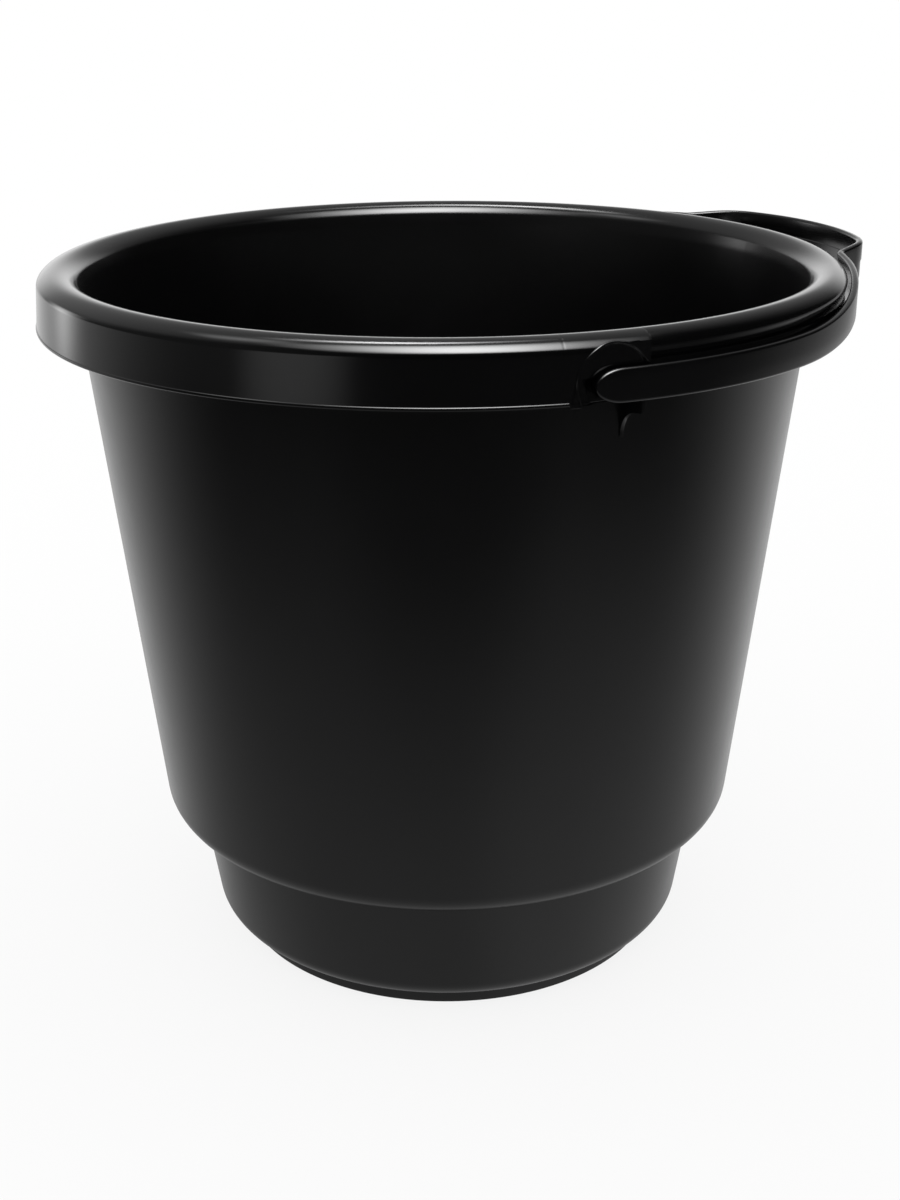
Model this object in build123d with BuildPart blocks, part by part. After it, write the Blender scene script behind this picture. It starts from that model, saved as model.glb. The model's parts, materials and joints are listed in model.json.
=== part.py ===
from build123d import *
from math import cos, radians, sqrt, tan
import os

# A moulded plastic bucket with a bail that folds down against one half of its rim.
# Millimetres, +Z up. The origin is the middle of the standing ring, on the ground.
# The bail turns about the Y direction, and folded down it points to +X.

# Shell: sizes of the inside, with one wall thickness all over
wall = 2.4
mouth_radius = 141.5
mouth_level = 270.0
wall_draft = 6.05
step_level = 58.9
step_width = 12.4
step_corner = 8.6
foot_edge = 4.6
foot_draft = 8.7
foot_corner = 7.3
floor_level = 9.2

# Standing ring under the floor
ring_inset = 6.7
ring_width = 3.2
ring_chamfer = 0.8

# Rim: the wall rolls out over the top and ends in a hanging skirt
rim_rise = 17.2
rim_width = 18.5
rim_lean = 1.6
rim_knee_drop = 9.2
rim_knee_run = 3.9
rim_knee_round = 24.0
rim_inner_round = 8.2
rim_outer_round = 6.6
skirt_height = 21.7
skirt_round = 1.5

# Bail: a flat strap that follows the rim and swells out into a grip
strap_height = 11.7
strap_thickness = 2.8
strap_proud = 1.3
strap_chamfer = 0.7
tongue_length = 8.1
tongue_nose = 10.0
grip_reach = 19.1
grip_bow = 12.1
grip_half_width = 49.3
grip_flare = 27.0
grip_corner = 25.0
neck_round = 6.0
grip_height = 16.0
grip_stand = 0.8
rise_length = 110.0
sag_length = 94.0
bail_travel = 95.0

# Room between the bail and the rim
strap_gap = 1.2
seat_gap = 0.5
stop_gap = 0.3
pin_gap = 0.05

# Rebate: half of the rim is trimmed to let the folded bail lie against it
rebate_drop = 3.0
rebate_lap = 1.5

# Ear: a plate with a stepped pocket that carries the pin, a little behind the bucket's middle
pivot_setback = 11.8
ear_radius = 13.4
ear_right = 13.1
ear_drop = 0.6
ear_height = 14.0
ear_lap = 0.4
ear_relief = 7.5
pocket_split = 2.5
pocket_step = 1.2
pocket_depth = 4.0
pocket_radius = 9.2
gusset_thickness = 1.5
gusset_drop = 5.8
gusset_tail = 16.7
gusset_round = 9.0
gusset_inset = 0.2
gusset_lap = 0.4

# Split pin that snaps through the ear
pin_radius = 4.2
pin_head_lip = 1.2
pin_head_length = 2.4
pin_slot = 1.6

# Levels and radii that follow from those sizes
rim_top = mouth_level + rim_rise
rim_radius = mouth_radius + rim_width
skirt_bottom = rim_top - skirt_height
wall_slope = tan(radians(wall_draft))
step_radius = mouth_radius - (mouth_level - step_level) * wall_slope
knee_radius = mouth_radius + (rim_rise - rim_knee_drop) * wall_slope
foot_top_radius = step_radius - step_width
foot_radius = foot_top_radius - (step_level - floor_level) * tan(radians(foot_draft))
ring_radius = foot_radius - ring_inset
pivot_level = skirt_bottom + strap_height / 2
strap_outer = rim_radius + strap_proud
strap_inner = strap_outer - strap_thickness
rebate_radius = strap_inner - strap_gap
rebate_top = rim_top - rebate_drop
tongue_tip = pivot_setback + tongue_length
seat = sqrt(strap_inner**2 - tongue_tip**2) - seat_gap
pocket_floor = seat - pocket_depth
ear_back = pocket_floor - wall
ear_bottom = skirt_bottom - ear_drop
ear_edge = ear_right - pivot_setback
ear_left = ear_radius + ear_lap + pivot_setback
hole_radius = pin_radius + pin_gap
lug_radius = strap_height / 2
grip_tip = strap_outer + grip_reach
grip_edge = grip_tip - grip_bow
outside = grip_tip + wall


def wall_at_gusset(level):
    """How far the main wall's outer face lies from the XZ plane, at the gussets and a level."""
    radius = mouth_radius - (mouth_level - level) * wall_slope + wall / cos(radians(wall_draft))
    return sqrt(radius**2 - ear_edge**2)


# Tool: the skirt set back behind the folded bail
with BuildPart() as rebate_skirt:
    with BuildSketch(Plane.XZ):
        with BuildLine():
            Polyline(
                (rebate_radius - wall, skirt_bottom),
                (rebate_radius + rebate_lap, skirt_bottom),
                (rebate_radius + rebate_lap, rebate_top),
                (rebate_radius - wall, rebate_top),
                close=True,
            )
        make_face()
    revolve(axis=Axis.Z)
    split(bisect_by=Plane.YZ.offset(ear_edge - gusset_thickness), keep=Keep.TOP)

# Tool: what the rebate takes off the same half of the rim
with BuildPart() as rebate_cut:
    with BuildSketch(Plane.XZ):
        with BuildLine():
            Polyline(
                (rebate_radius, skirt_bottom - wall),
                (outside, skirt_bottom - wall),
                (outside, rim_top),
                (rebate_radius, rim_top),
                close=True,
            )
        make_face()
    revolve(axis=Axis.Z)
    split(bisect_by=Plane.YZ.offset(ear_edge), keep=Keep.TOP)

# Tool: plate, pocket box and gusset of both ears
with BuildPart() as ear_block:
    with BuildSketch(Plane.XZ.offset(seat - wall)):
        with BuildLine():
            Polyline(
                (-ear_left, ear_bottom),
                (ear_edge + ear_lap, ear_bottom),
                (ear_edge + ear_lap, ear_bottom + ear_height),
                (-ear_left, ear_bottom + ear_height),
                close=True,
            )
        make_face()
    extrude(amount=wall)
    with BuildSketch(Plane.XZ.offset(ear_back)):
        with Locations((-pivot_setback, pivot_level)):
            Circle(pocket_radius + wall)
        with Locations((-pivot_setback, pivot_level + pocket_split + wall)):
            Rectangle(4 * ear_radius, 2 * ear_radius, align=(Align.CENTER, Align.MIN), mode=Mode.SUBTRACT)
        with Locations((-pivot_setback, ear_bottom)):
            Rectangle(4 * ear_radius, 2 * ear_radius, align=(Align.CENTER, Align.MAX), mode=Mode.SUBTRACT)
    extrude(amount=seat - wall / 2 - ear_back)
    gusset_bottom = skirt_bottom - gusset_drop
    gusset_tip = gusset_bottom - gusset_tail
    gusset_root = (-wall_at_gusset(gusset_bottom), gusset_bottom)
    with BuildSketch(Plane.YZ.offset(ear_edge - gusset_inset - gusset_thickness)) as gusset:
        with BuildLine():
            Polyline(
                gusset_root,
                (-wall_at_gusset(gusset_tip), gusset_tip),
                (-wall_at_gusset(gusset_tip) + wall / 2, gusset_tip),
                (-wall_at_gusset(rim_top - rim_knee_drop) + wall / 2, rim_top - rim_knee_drop),
                (-knee_radius - rim_knee_run - wall * 2 / 3, rim_top - wall + gusset_lap),
                (-rebate_radius, rim_top - wall + gusset_lap),
                (-rebate_radius, gusset_bottom),
                close=True,
            )
        make_face()
        fillet(gusset.vertices().sort_by_distance(gusset_root)[0], gusset_round)
    extrude(amount=gusset_thickness)
    mirror(about=Plane.XZ)

# Tool: the round seat, the pocket and the pin hole of both ears
with BuildPart() as ear_cut:
    with BuildSketch(Plane.XZ.offset(seat)):
        with Locations((-pivot_setback, pivot_level)):
            Circle(ear_radius)
            Rectangle(ear_right, 4 * ear_radius, align=(Align.MIN, Align.CENTER))
            Rectangle(ear_relief, 2 * ear_radius, align=(Align.MAX, Align.MIN))
    extrude(amount=outside - seat)
    for radius, depth in ((ear_radius, pocket_step), (pocket_radius, pocket_depth)):
        with BuildSketch(Plane.XZ.offset(seat - depth)):
            with Locations((-pivot_setback, pivot_level)):
                Circle(radius)
            with Locations((-pivot_setback, pivot_level + pocket_split)):
                Rectangle(4 * ear_radius, 2 * ear_radius, align=(Align.CENTER, Align.MIN), mode=Mode.SUBTRACT)
        extrude(amount=depth + wall)
    with BuildSketch(Plane.XZ.offset(ear_back - wall)):
        with Locations((-pivot_setback, pivot_level)):
            Circle(hole_radius)
    extrude(amount=seat - ear_back + 2 * wall)
    mirror(about=Plane.XZ)

# Bucket: one moulded shell from the floor to the hanging skirt
with BuildPart() as bucket_body:
    with BuildSketch(Plane.XZ) as shell_section:
        with BuildLine():
            FilletPolyline(
                (0, floor_level),
                (foot_radius, floor_level),
                (foot_top_radius, step_level),
                (step_radius, step_level),
                (knee_radius, rim_top - rim_knee_drop),
                (knee_radius + rim_knee_run, rim_top),
                (rim_radius - rim_lean, rim_top),
                (rim_radius, skirt_bottom),
                radius=(foot_corner, foot_edge, step_corner, rim_knee_round, rim_inner_round, rim_outer_round),
            )
            offset(amount=wall, side=Side.RIGHT)
        make_face()
        fillet(shell_section.vertices().sort_by(Axis.X)[-1], skirt_round)
    revolve(axis=Axis.Z)
    with BuildSketch(Plane.XZ) as ring_section:
        with Locations((ring_radius, 0)):
            Rectangle(ring_width, floor_level - wall / 2, align=(Align.MAX, Align.MIN))
        chamfer(ring_section.vertices().group_by(Axis.Y)[0], ring_chamfer)
    revolve(axis=Axis.Z)
    add(rebate_skirt.part)
    add(ear_block.part)
    add(rebate_cut.part, mode=Mode.SUBTRACT)
    add(ear_cut.part, mode=Mode.SUBTRACT)

# Tool: split pin and stop lug of both ends of the bail
with BuildPart() as bail_pins:
    head_seat = ear_back - stop_gap
    head_tip = head_seat - pin_head_length
    root = sqrt((strap_inner + strap_thickness / 2) ** 2 - pivot_setback**2)
    with BuildSketch(Plane.XZ.offset(head_tip)):
        with Locations((-pivot_setback, pivot_level)):
            Circle(pin_radius)
    extrude(amount=root - head_tip)
    with BuildSketch(Plane.XZ.offset(head_tip)):
        with Locations((-pivot_setback, pivot_level)):
            Circle(pin_radius + pin_head_lip)
    extrude(amount=pin_head_length)
    chamfer(bail_pins.edges().sort_by(Axis.Y)[-1], pin_head_lip)
    with BuildSketch(Plane.XZ.offset(pocket_floor + stop_gap)):
        with Locations((-pivot_setback, pivot_level)):
            Circle(lug_radius)
            with PolarLocations(pocket_split - stop_gap, 2, 90 - bail_travel, bail_travel, endpoint=True):
                Rectangle(lug_radius, 2 * lug_radius, align=(Align.MIN, Align.CENTER), mode=Mode.SUBTRACT)
    extrude(amount=root - pocket_floor - stop_gap)
    with BuildSketch(Plane.XZ.offset(head_tip)):
        with Locations((-pivot_setback, pivot_level)):
            Rectangle(pin_slot, 4 * pin_radius)
    extrude(amount=pocket_floor - head_tip, mode=Mode.SUBTRACT)
    mirror(about=Plane.XZ)

# Bail: strap cut from its plan and its side view, with a stop lug and a split pin at each end
with BuildPart() as bail_handle:
    flare_root = grip_reach + grip_bow
    root_width = grip_half_width + flare_root * tan(radians(grip_flare))
    with BuildSketch() as plan:
        Circle(strap_outer)
        with BuildLine():
            Polyline(
                (grip_edge, -grip_half_width),
                (grip_edge - flare_root, -root_width),
                (grip_edge - flare_root, root_width),
                (grip_edge, grip_half_width),
            )
            ThreePointArc(
                (grip_edge, grip_half_width),
                (grip_tip, 0),
                (grip_edge, -grip_half_width),
            )
        make_face()
        necks = plan.vertices().sort_by(Axis.X)[-4:-2]
        fillet(necks, neck_round)
        corners = plan.vertices().sort_by(Axis.X)[-2:]
        fillet(corners, grip_corner)
        offset(amount=-strap_thickness, mode=Mode.SUBTRACT)
    extrude(amount=2 * rim_top)
    strap_top = pivot_level + strap_height / 2
    grip_top = rim_top + grip_stand
    grip_bottom = grip_top - grip_height
    rise_start = grip_tip - rise_length
    sag_start = grip_edge - sag_length
    with BuildSketch(Plane.XZ):
        with BuildLine():
            nose = (tongue_nose - tongue_tip, pivot_level)
            EllipticalCenterArc(nose, tongue_nose, strap_height / 2, start_angle=90, arc_size=180)
            Line((nose[0], strap_top), (rise_start, strap_top))
            rise_middle = ((rise_start + grip_tip) / 2, (strap_top + grip_top) / 2)
            rise = TangentArc((rise_start, strap_top), rise_middle, tangent=(1, 0))
            TangentArc(rise_middle, (grip_tip, grip_top), tangent=rise % 1)
            Polyline(
                (grip_tip, grip_top),
                (outside, grip_top),
                (outside, grip_bottom),
                (grip_edge, grip_bottom),
            )
            sag_middle = ((sag_start + grip_edge) / 2, (skirt_bottom + grip_bottom) / 2)
            sag = TangentArc((sag_start, skirt_bottom), sag_middle, tangent=(1, 0))
            TangentArc(sag_middle, (grip_edge, grip_bottom), tangent=sag % 1)
            Line((sag_start, skirt_bottom), (nose[0], skirt_bottom))
        make_face()
    extrude(amount=outside, both=True, mode=Mode.INTERSECT)
    chamfer(bail_handle.edges(), strap_chamfer)
    add(bail_pins.part)

os.makedirs("parts", exist_ok=True)
bucket_body.part.label = "bucket_body"
export_step(bucket_body.part, "parts/bucket_body.step")
bail_handle.part.label = "bail_handle"
export_step(bail_handle.part, "parts/bail_handle.step")
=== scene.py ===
import json
from math import acos, atan2, ceil, cos, degrees, pi, radians, sin, sqrt, tan
from typing import NamedTuple

import bpy
import numpy as np
from bpy.props import FloatProperty, FloatVectorProperty, PointerProperty
from bpy.types import Operator, Panel, PropertyGroup
from mathutils import Matrix, Vector


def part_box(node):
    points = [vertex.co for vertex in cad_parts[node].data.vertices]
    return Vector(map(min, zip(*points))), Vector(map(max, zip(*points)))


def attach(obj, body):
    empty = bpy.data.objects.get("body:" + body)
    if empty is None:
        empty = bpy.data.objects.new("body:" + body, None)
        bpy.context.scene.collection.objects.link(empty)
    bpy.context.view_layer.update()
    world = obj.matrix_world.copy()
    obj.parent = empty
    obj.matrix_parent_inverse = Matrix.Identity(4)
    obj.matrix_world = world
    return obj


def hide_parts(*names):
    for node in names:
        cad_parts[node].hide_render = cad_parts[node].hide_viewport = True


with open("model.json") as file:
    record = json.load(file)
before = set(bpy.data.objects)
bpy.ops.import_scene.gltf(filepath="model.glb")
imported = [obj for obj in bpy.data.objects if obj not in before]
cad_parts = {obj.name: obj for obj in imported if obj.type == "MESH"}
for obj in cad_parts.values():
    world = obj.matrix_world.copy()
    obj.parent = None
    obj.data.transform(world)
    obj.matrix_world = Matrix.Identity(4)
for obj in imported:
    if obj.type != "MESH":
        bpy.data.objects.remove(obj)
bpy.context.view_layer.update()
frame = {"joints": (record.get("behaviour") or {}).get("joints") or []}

bl_info = {
    "name": "Bucket with a folding strap bail",
    "version": (1, 0, 0),
    "blender": (4, 5, 0),
    "location": "View3D > Sidebar > Bucket",
    "description": "Models the bucket's shell and bail on the packed frame, and sets the stage",
    "category": "Object",
}

MM = 0.001
HINGE = frame["joints"][0]
PIVOT_X, _, PIVOT_LEVEL = HINGE["pos_m"]
PIVOT = Vector((PIVOT_X, 0, PIVOT_LEVEL))
BAIL_TRAVEL = radians(HINGE["range_deg"][1])
RIM_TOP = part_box("bucket_body")[1][2]
GRIP_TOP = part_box("bail_handle")[1][2]
GRIP_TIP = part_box("bail_handle")[1][0]
STRAP_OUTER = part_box("bail_handle")[1][1]

ALONG_X = Vector((1, 0, 0))
ALONG_Y = Vector((0, 1, 0))
ALONG_Z = Vector((0, 0, 1))
EAR_SIDES = (-ALONG_Y, ALONG_Y)
FULL_TURN = 2 * pi

MERGE_DISTANCE = 0.001 * MM
SMOOTH_ANGLE = radians(38)

# Steps of the rounds in the shell's section, in degrees
PLAIN_FACET = 7
RIM_FACET = 4
CROWN_FACET = 2.5
OUTSIDE_FACET = 9
LIP_FACET = 15
RING_FACET = 20


def size(name, millimetres, text):
    """A length property, in millimetres."""
    length = millimetres * MM
    return FloatProperty(name=name, description=text, default=length, unit="LENGTH", precision=5)


def tilt(name, angle, text):
    """An angle property, in degrees."""
    return FloatProperty(name=name, description=text, default=radians(angle), unit="ROTATION")


def share(name, value, text):
    """A property from 0 to 1."""
    return FloatProperty(name=name, description=text, default=value, min=0, max=1, subtype="FACTOR")


def tint(name, value, text):
    """A colour property."""
    return FloatVectorProperty(name=name, description=text, default=value, min=0, max=1, subtype="COLOR")


class ShellSizes(PropertyGroup):
    """Sizes of the moulded shell, on the inside unless they say otherwise."""

    wall: size("Wall", 2.4, "Thickness of the wall, all over")
    mouth_radius: size("Mouth radius", 141.5, "Radius at the mouth level")
    mouth_drop: size("Mouth drop", 17.2, "Depth of that level under the rim's top")
    wall_draft: tilt("Wall draft", 6.05, "Lean of the wall above the step")
    step_level: size("Step level", 58.9, "Height of the step above the ground")
    step_width: size("Step width", 12.4, "How far the step goes in")
    step_corner: size("Step corner", 8.6, "Round between the step and the wall")
    foot_edge: size("Foot edge", 4.6, "Round between the step and the foot")
    foot_draft: tilt("Foot draft", 8.7, "Lean of the foot under the step")
    foot_corner: size("Foot corner", 7.3, "Round between the foot and the floor")
    floor_level: size("Floor level", 9.2, "Height of the floor above the ground")
    ring_inset: size("Ring inset", 6.7, "Inset of the standing ring from the foot")
    ring_width: size("Ring width", 3.2, "Thickness of the standing ring")
    ring_round: size("Ring round", 0.8, "Round of the standing ring's lower edges")
    rim_width: size("Rim width", 18.5, "Reach of the rim past the mouth")
    rim_lean: size("Rim lean", 1.6, "Spread of the skirt down to its lower edge")
    knee_drop: size("Knee drop", 9.2, "Depth of the bend where the roll starts")
    knee_run: size("Knee run", 1.9, "Lean of the wall from that bend to the top")
    knee_round: size("Knee round", 24.0, "Round of that bend")
    crown_round: size("Crown round", 9.0, "Round of the roll along the rim")
    crown_inset: size("Crown inset", 8.8, "Inset of the roll's middle from the skirt")
    inner_tilt: tilt("Inner tilt", 57.0, "Slope where the roll meets the inside")
    outer_tilt: tilt("Outer tilt", 48.0, "Slope where the roll meets the skirt")
    lip_height: size("Lip height", 1.15, "Height of the lip along the skirt's edge")
    lip_reach: size("Lip reach", 0.2, "How far that lip stands out")
    skirt_height: size("Skirt height", 21.7, "Depth of the skirt's edge under the rim's top")
    skirt_round: size("Skirt round", 1.5, "Round of the skirt's lower edge")


class EarSizes(PropertyGroup):
    """Sizes of the ears that carry the bail, and of the rebate that it folds into."""

    rebate_gap: size("Rebate gap", 1.2, "Room between the strap and the trimmed rim")
    undercut: tilt("Undercut", 13.0, "Lean of the hollow under the trimmed roll")
    undercut_height: size("Undercut height", 8.6, "Height of that hollow")
    seat_gap: size("Seat gap", 0.5, "Room between the strap's end and the seat")
    radius: size("Seat radius", 13.4, "Radius of the round seat")
    right: size("Right edge", 13.1, "Where the ear ends, towards the bail")
    left: size("Left edge", 15.9, "Where the ear ends, away from the bail")
    lean: size("Left lean", 3.1, "Lean of the ear's left edge")
    drop: size("Drop", 0.6, "How far the ear hangs under the skirt")
    split: size("Split", 2.5, "Height of the pocket's upper edge above the pin")
    ledge: size("Ledge", 1.2, "Depth of the pocket's outer step")
    pocket_radius: size("Pocket radius", 9.2, "Radius of the deep pocket")
    pocket_depth: size("Pocket depth", 4.0, "Depth of the deep pocket")
    relief: size("Relief", 0.9, "How far the roll stands over the seat")
    ring: size("Ring", 0.5, "Radius of the bead round the left of the seat")
    seam: size("Seam", 17.6, "Where a fine seam crosses the roll")
    gusset_thickness: size("Gusset thickness", 1.5, "Thickness of the rib under the ear's edge")
    gusset_inset: size("Gusset inset", 0.2, "Inset of the rib from the ear's right edge")
    gusset_drop: size("Gusset drop", 5.8, "Depth of the rib's lower edge under the skirt")
    gusset_slope: size("Gusset slope", 2.2, "Fall of that edge towards the wall")
    gusset_tail: size("Gusset tail", 11.0, "How far the rib runs on down the wall")
    gusset_round: size("Gusset round", 10.5, "Round between the rib's lower edge and the wall")


class BailSizes(PropertyGroup):
    """Sizes of the folding bail."""

    thickness: size("Thickness", 2.8, "Thickness of the strap")
    height: size("Height", 11.7, "Height of the strap")
    tongue: size("Tongue", 8.1, "Reach of the strap's end past the pin")
    nose: size("Nose", 10.0, "Length of the rounded end")
    grip_reach: size("Grip reach", 19.1, "Reach of the grip from the strap")
    grip_bow: size("Grip bow", 12.1, "Bow of the grip in its middle")
    grip_half: size("Grip half width", 49.3, "Half the width of the grip, to its corners")
    grip_flare: tilt("Grip flare", 27.0, "Lean of the grip's sides")
    grip_corner: size("Grip corner", 25.0, "Round of the grip's corners")
    neck: size("Neck", 6.0, "Round where the strap turns out into the grip")
    grip_height: size("Grip height", 16.0, "Height of the grip")
    rise: size("Rise", 110.0, "Length of the upper edge's climb to the grip")
    sag: size("Sag", 94.0, "Length of the lower edge's climb to the grip")
    edge: size("Edge", 1.1, "Round of the strap's edges")
    parting: size("Parting", 0.35, "Inset of the grip under its parting line")
    pin_radius: size("Pin radius", 4.2, "Radius of the split pin")
    pin_lip: size("Pin lip", 1.2, "How far the pin's head stands out")
    pin_head: size("Pin head", 2.4, "Length of the pin's head")
    pin_slot: size("Pin slot", 1.6, "Width of the slot in the pin")
    stop_gap: size("Stop gap", 0.3, "Room between the lug or pin and the ear")


class BucketLook(PropertyGroup):
    """Colours and finish of the plastics and the stage."""

    body_colour: tint("Body colour", (0.0006, 0.0006, 0.0007), "Colour of the shell's plastic")
    bail_colour: tint("Bail colour", (0.0007, 0.0007, 0.0008), "Colour of the bail's plastic")
    wall_roughness: share("Wall roughness", 0.25, "Roughness of the satin wall")
    rim_roughness: share("Rim roughness", 0.14, "Roughness of the smoother rim")
    bail_roughness: share("Bail roughness", 0.2, "Roughness of the bail")
    floor_colour: tint("Floor colour", (0.98, 0.98, 0.98), "Colour of the floor and the backdrop")


class BucketSizes(PropertyGroup):
    """All that can be changed on the bucket."""

    shell: PointerProperty(type=ShellSizes)
    ear: PointerProperty(type=EarSizes)
    bail: PointerProperty(type=BailSizes)
    look: PointerProperty(type=BucketLook)


class Corner(NamedTuple):
    """A corner of a drawn line: its place, its round, the round's steps in degrees, and the longest step
    of the run before it, where 0 is one step."""

    place: Vector
    round: float = 0
    facet: float = PLAIN_FACET
    run: float = 0


def corner_at(out, up, *shape):
    """A corner at a place in the line's plane, with any round, facet and run."""
    return Corner(Vector((out, up)), *shape)


def set_mode(mode):
    """Switches to edit mode or object mode."""
    bpy.ops.object.mode_set(mode=mode)


def begin_line(name, start):
    """A new piece that is one point, in edit mode, ready to be drawn on."""
    bpy.ops.mesh.primitive_plane_add(size=MM)
    piece = bpy.context.object
    piece.name = piece.data.name = name
    set_mode("EDIT")
    bpy.ops.mesh.merge(type="CENTER")
    bpy.ops.transform.translate(value=start)
    return piece


def draw_run(start, end, longest=0):
    """Extrudes the line's end straight on, in runs no longer than longest."""
    count = ceil((end - start).length / longest) if longest else 1
    for _ in range(count):
        bpy.ops.mesh.extrude_vertices_move(TRANSFORM_OT_translate={"value": (end - start) / count})


def draw_arc(centre, axis, turn, steps):
    """Spins the line's end about an axis. The operator turns clockwise, so the axis is reversed."""
    bpy.ops.mesh.spin(steps=steps, angle=turn, center=centre, axis=-axis)


def draw_corners(corners, out, up):
    """Draws on through the corners, each round an arc tangent to the runs beside it."""
    axis = out.cross(up)
    here = corners[0].place
    for index, corner in enumerate(corners[1:], 1):
        end = corner.place
        turn = 0
        if corner.round:
            into = (corner.place - corners[index - 1].place).normalized()
            away = (corners[index + 1].place - corner.place).normalized()
            turn = atan2(into.cross(away), into.dot(away))
            end = corner.place - into * corner.round * tan(abs(turn) / 2)
        draw_run(out * here.x + up * here.y, out * end.x + up * end.y, corner.run)
        here = end
        if turn:
            left = Vector((-into.y, into.x))
            centre = end + left * (corner.round if turn > 0 else -corner.round)
            steps = ceil(degrees(abs(turn)) / corner.facet)
            draw_arc(out * centre.x + up * centre.y, axis, turn, steps)
            here = corner.place + away * corner.round * tan(abs(turn) / 2)


def select_all():
    """Selects all of the mesh's vertices."""
    bpy.ops.mesh.select_mode(type="VERT")
    bpy.ops.mesh.select_all(action="SELECT")


def merge_doubles():
    """Selects the whole mesh and merges points that coincide."""
    select_all()
    bpy.ops.mesh.remove_doubles(threshold=MERGE_DISTANCE)


def close_skin():
    """Merges the doubles and turns every face outwards."""
    merge_doubles()
    bpy.ops.mesh.normals_make_consistent(inside=False)


def close_piece():
    """Closes the skin and goes back to object mode."""
    close_skin()
    set_mode("OBJECT")


def vertex_places(piece):
    """The piece's vertices as rows of x, y and z."""
    places = np.empty(len(piece.data.vertices) * 3)
    piece.data.vertices.foreach_get("co", places)
    return places.reshape(-1, 3)


def move_vertices(piece, places):
    """Moves the piece's vertices to rows of x, y and z."""
    piece.data.vertices.foreach_set("co", places.ravel())
    piece.data.update()


def climb(values, low, high):
    """A smooth step from 0 at low to 1 at high."""
    part = np.clip((values - low) / (high - low), 0, 1)
    return part * part * (3 - 2 * part)


def ridge(values, middle, width):
    """A smooth ridge, 1 at its middle, that fades out over a width on each side."""
    return np.exp(-(((values - middle) / width) ** 2))


def add_modifier(piece, kind, **settings):
    """Adds a modifier to the piece and applies it."""
    modifier = piece.modifiers.new(kind.title(), kind)
    for name, value in settings.items():
        setattr(modifier, name, value)
    bpy.context.view_layer.objects.active = piece
    bpy.ops.object.modifier_apply(modifier=modifier.name)


def finish_piece(piece, others, body, node, material):
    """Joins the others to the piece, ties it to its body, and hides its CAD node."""
    bpy.ops.object.select_all(action="DESELECT")
    for part in [piece, *others]:
        part.select_set(True)
    bpy.context.view_layer.objects.active = piece
    bpy.ops.object.join()
    bpy.ops.object.shade_smooth_by_angle(angle=SMOOTH_ANGLE)
    piece.data.materials.clear()
    piece.data.materials.append(material)
    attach(piece, body)
    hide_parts(node)


class Shade:
    """A socket of a node tree. Operators on it add Math nodes, and node() adds any other node."""

    def __init__(self, tree, socket=None):
        self.tree = tree
        self.socket = socket

    def node(self, kind, settings=None, inputs=None, out=0):
        """Adds a node with settings and inputs, by name or number, and gives one of its outputs."""
        made = self.tree.nodes.new(kind)
        for name, value in (settings or {}).items():
            setattr(made, name, value)
        for name, value in (inputs or {}).items():
            if isinstance(value, Shade):
                self.tree.links.new(value.socket, made.inputs[name])
            else:
                made.inputs[name].default_value = value
        return Shade(self.tree, made.outputs[out] if made.outputs else None)

    def math(self, operation, first, second):
        """Adds a Math node."""
        return self.node("ShaderNodeMath", {"operation": operation}, {0: first, 1: second})

    def __add__(self, other):
        return self.math("ADD", self, other)

    def __sub__(self, other):
        return self.math("SUBTRACT", self, other)

    def __rsub__(self, other):
        return self.math("SUBTRACT", other, self)

    def __mul__(self, other):
        return self.math("MULTIPLY", self, other)

    def __truediv__(self, other):
        return self.math("DIVIDE", self, other)

    __radd__ = __add__
    __rmul__ = __mul__


def empty_tree(owner):
    """Clears the nodes of a material, a lamp or the world, ready for new ones."""
    owner.use_nodes = True
    owner.node_tree.nodes.clear()
    return Shade(owner.node_tree)


def band(value, low, high):
    """A smooth step of a shader value, from 0 at low to 1 at high."""
    inputs = {"Value": value, "From Min": low, "From Max": high}
    return value.node("ShaderNodeMapRange", {"interpolation_type": "SMOOTHSTEP"}, inputs)


def length_of(vector):
    """Length of a shader vector."""
    return vector.node("ShaderNodeVectorMath", {"operation": "LENGTH"}, {0: vector}, out="Value")


def toward(vector, direction):
    """How far a shader vector points in a direction."""
    inputs = {0: vector, 1: direction.normalized()}
    return vector.node("ShaderNodeVectorMath", {"operation": "DOT_PRODUCT"}, inputs, out="Value")


def part_of(vector, axis):
    """The X, Y or Z of a shader vector."""
    return vector.node("ShaderNodeSeparateXYZ", {}, {"Vector": vector}, out=axis)


# Noise patterns, as features per metre and detail
CLOUDS = (16, 3)
DULL_SPOTS = (25, 2)
SWIRLS = (60, 4)
GRAIN = (1400, 2)
NOISE_ROUGHNESS = 0.6

PLASTIC_IOR = 1.49
PALE_SHARE = 1.6
PALE_CLOUDS = (0.35, 0.7)
SWIRL_ROUGHNESS = 0.06
SPOT_ROUGHNESS = 0.04
SINK_STRENGTH = 0.15
SINK_DEPTH = 0.06 * MM
SKIN_STRENGTH = 0.12
SKIN_DEPTH = 0.02 * MM

# Sockets of a Mix node that mixes colours
MIX_FACTOR = 0
MIX_FIRST = 6
MIX_SECOND = 7
MIX_RESULT = 2


def noise(place, scale, detail):
    """Noise from 0 to 1 over the object."""
    inputs = {"Vector": place, "Scale": scale, "Detail": detail, "Roughness": NOISE_ROUGHNESS}
    return place.node("ShaderNodeTexNoise", {}, inputs, out="Fac")


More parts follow.
